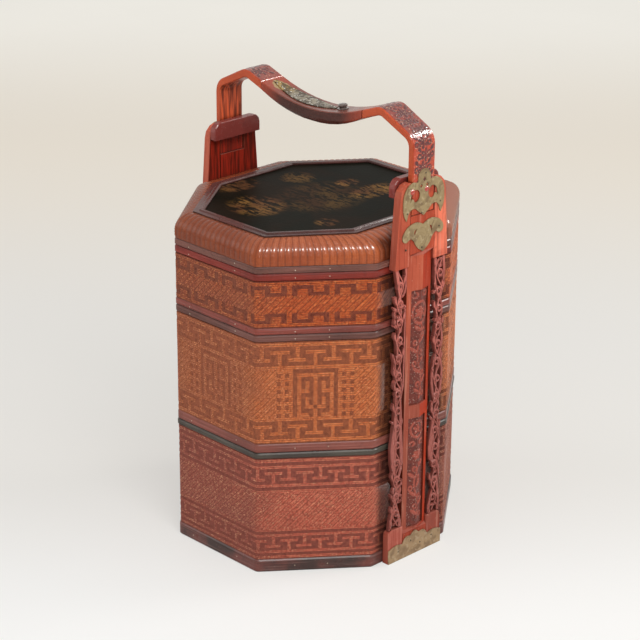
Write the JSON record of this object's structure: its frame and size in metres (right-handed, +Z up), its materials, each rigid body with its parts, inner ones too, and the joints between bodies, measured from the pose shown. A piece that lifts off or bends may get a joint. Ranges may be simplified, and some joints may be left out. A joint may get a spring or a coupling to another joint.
{
  "type": "tiered food basket",
  "caption": "Octagonal stacking food basket of woven bamboo: trays and a lid held between two carved uprights under a bent yoke handle.",
  "frame": {"origin": "centre of the standing face, on the ground", "axes": "+Z up, +X along the handle from the far upright to the near one, +Y towards the back facet"},
  "size_m": [0.37, 0.3774, 0.6057],
  "materials": {
    "woven_lid": "varnished woven bamboo, ribbed",
    "woven_upper": "varnished woven bamboo, key-fret bands",
    "woven_middle": "varnished woven bamboo, key-fret bands and a lattice",
    "woven_bottom": "varnished woven bamboo, key-fret bands",
    "dark_band": "dark brown lacquer, worn",
    "red_band": "red-brown lacquer, worn",
    "floor_wood": "plain wood",
    "liner_bamboo": "split bamboo",
    "panel_lacquer": "black-green lacquer with worn gold painting",
    "moulding_lacquer": "dark purplish brown lacquer",
    "coral_lacquer": "coral red lacquer",
    "fret_lacquer": "dusky red lacquer, carved",
    "strap_lacquer": "red-orange lacquer, crackled",
    "grip_lacquer": "dark maroon lacquer, worn",
    "cap_lacquer": "maroon lacquer",
    "aged_brass": "aged",
    "pin_bamboo": "plain bamboo"
  },
  "bodies": {
    "basket_frame": {"bottom_tray_foot_band": "dark_band", "bottom_tray_wall": "woven_bottom", "bottom_tray_top_rim": "dark_band", "bottom_tray_floor": "floor_wood", "bottom_tray_lip": "liner_bamboo", "handle_strap_near": "strap_lacquer", "handle_strap_far": "strap_lacquer", "handle_grip": "grip_lacquer", "handle_inlay": "aged_brass", "handle_knob": "aged_brass", "post_near": "coral_lacquer", "board_left_near": "coral_lacquer", "board_right_near": "coral_lacquer", "base_block_left_near": "coral_lacquer", "base_block_right_near": "coral_lacquer", "fret_left_near": "fret_lacquer", "fret_right_near": "fret_lacquer", "cap_bar_near": "cap_lacquer", "bat_plate_upper_near": "aged_brass", "bat_plate_lower_near": "aged_brass", "foot_plate_near": "aged_brass", "pin_lower_near": "pin_bamboo", "pin_upper_near": "pin_bamboo", "post_far": "coral_lacquer", "board_left_far": "coral_lacquer", "board_right_far": "coral_lacquer", "base_block_left_far": "coral_lacquer", "base_block_right_far": "coral_lacquer", "fret_left_far": "fret_lacquer", "fret_right_far": "fret_lacquer", "cap_bar_far": "cap_lacquer", "bat_plate_upper_far": "aged_brass", "bat_plate_lower_far": "aged_brass", "foot_plate_far": "aged_brass", "pin_lower_far": "pin_bamboo", "pin_upper_far": "pin_bamboo"},
    "middle_tray": {"middle_tray_bottom_rim": "red_band", "middle_tray_wall": "woven_middle", "middle_tray_top_rim": "dark_band", "middle_tray_floor": "floor_wood", "middle_tray_lip": "liner_bamboo"},
    "upper_tray": {"upper_tray_bottom_rim": "dark_band", "upper_tray_wall": "woven_upper", "upper_tray_top_rim": "red_band", "upper_tray_floor": "floor_wood", "upper_tray_lip": "liner_bamboo"},
    "lid": {"lid_rim": "dark_band", "lid_shell": "woven_lid", "lid_panel": "panel_lacquer", "lid_moulding": "moulding_lacquer"}
  },
  "joints": [
    {"name": "middle_tray_lift", "type": "slide", "parent": "basket_frame", "child": "middle_tray", "axis": [0, 0, 1], "range_m": [0, 0.014]},
    {"name": "upper_tray_lift", "type": "slide", "parent": "middle_tray", "child": "upper_tray", "axis": [0, 0, 1], "range_m": [0, 0.014]},
    {"name": "lid_lift", "type": "slide", "parent": "upper_tray", "child": "lid", "axis": [0, 0, 1], "range_m": [0, 0.018]}
  ]
}
